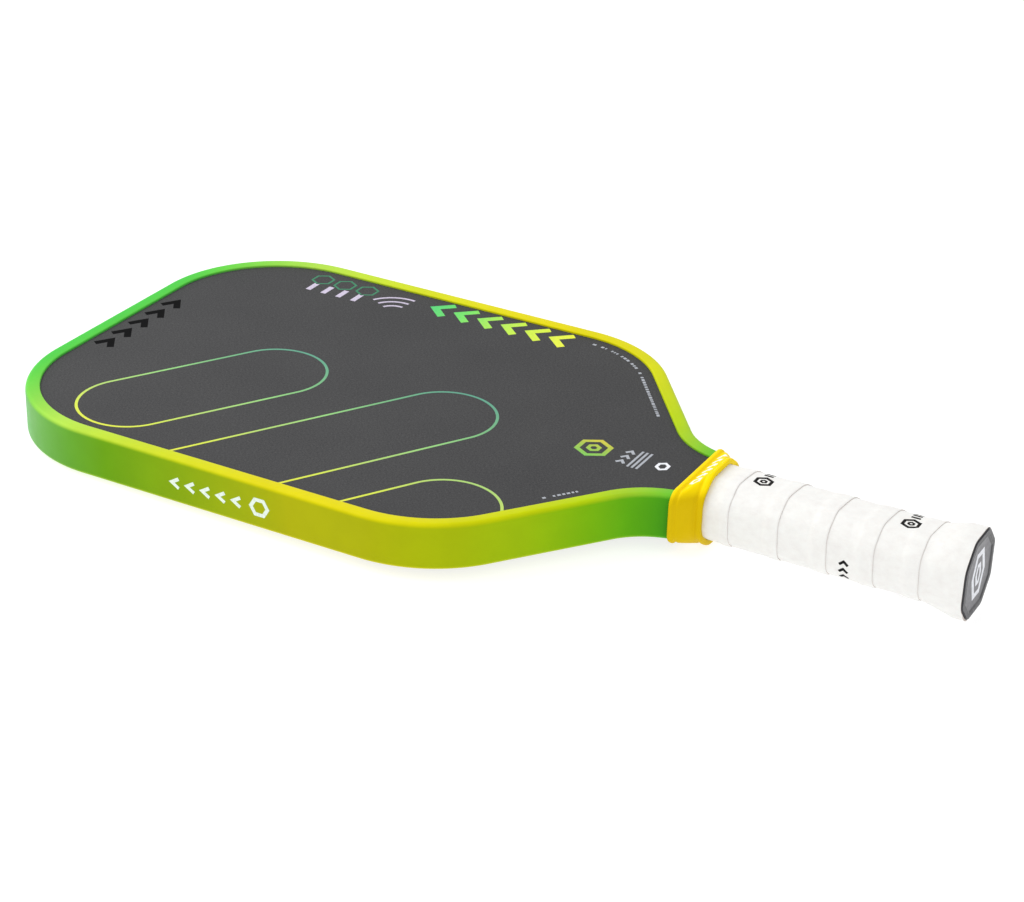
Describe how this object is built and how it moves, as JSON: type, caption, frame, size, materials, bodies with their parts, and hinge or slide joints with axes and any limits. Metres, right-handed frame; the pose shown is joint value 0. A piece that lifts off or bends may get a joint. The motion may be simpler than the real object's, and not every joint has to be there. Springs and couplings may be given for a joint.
{
  "type": "pickleball paddle",
  "caption": "Pickleball paddle with a rounded-square honeycomb blade, a moulded edge guard, a rubber neck band and a flared handle wrapped in white grip.",
  "frame": {"origin": "centre of the butt end face, on the rim of the butt cap", "axes": "+Y along the handle toward the blade tip, +Z out of the front face, +X across the blade"},
  "size_m": [0.2, 0.406, 0.0356],
  "materials": {
    "core_honeycomb": "translucent white polypropylene",
    "core_perimeter_foam": "cut foam",
    "handle_core": "cut foam",
    "core_scrim": "non-woven fleece",
    "front_face_sheet": "fine peel-ply texture over carbon laminate, printed line pattern",
    "rear_face_sheet": "fine peel-ply texture over carbon laminate, printed line pattern",
    "edge_wall_laminate": "bare carbon laminate",
    "edge_guard_tape": "tacky",
    "edge_guard": "smooth satin gloss, yellow along the sides fading to green at the tip and the neck",
    "handle_pallet": "moulded foam skin",
    "butt_cap": "fine matte",
    "butt_cap_staples": "drawn wire",
    "butt_badge": "smooth satin with a plain white printed pattern",
    "base_grip": "soft cushioned synthetic",
    "overgrip": "thin soft white wrap with faint overlap lines",
    "finishing_tape": "thin vinyl tape",
    "neck_band": "smooth matte moulded rubber"
  },
  "bodies": {
    "root": {"core_honeycomb": "core_honeycomb", "core_perimeter_foam": "core_perimeter_foam", "handle_core": "handle_core", "core_scrim_front": "core_scrim", "core_scrim_rear": "core_scrim", "front_face_sheet": "front_face_sheet", "rear_face_sheet": "rear_face_sheet", "edge_wall_laminate": "edge_wall_laminate", "edge_guard_tape": "edge_guard_tape", "edge_guard": "edge_guard", "handle_pallet_front": "handle_pallet", "handle_pallet_rear": "handle_pallet", "butt_cap": "butt_cap", "butt_cap_staples": "butt_cap_staples", "butt_badge": "butt_badge", "base_grip": "base_grip", "overgrip": "overgrip", "finishing_tape": "finishing_tape", "neck_band": "neck_band"}
  },
  "joints": []
}
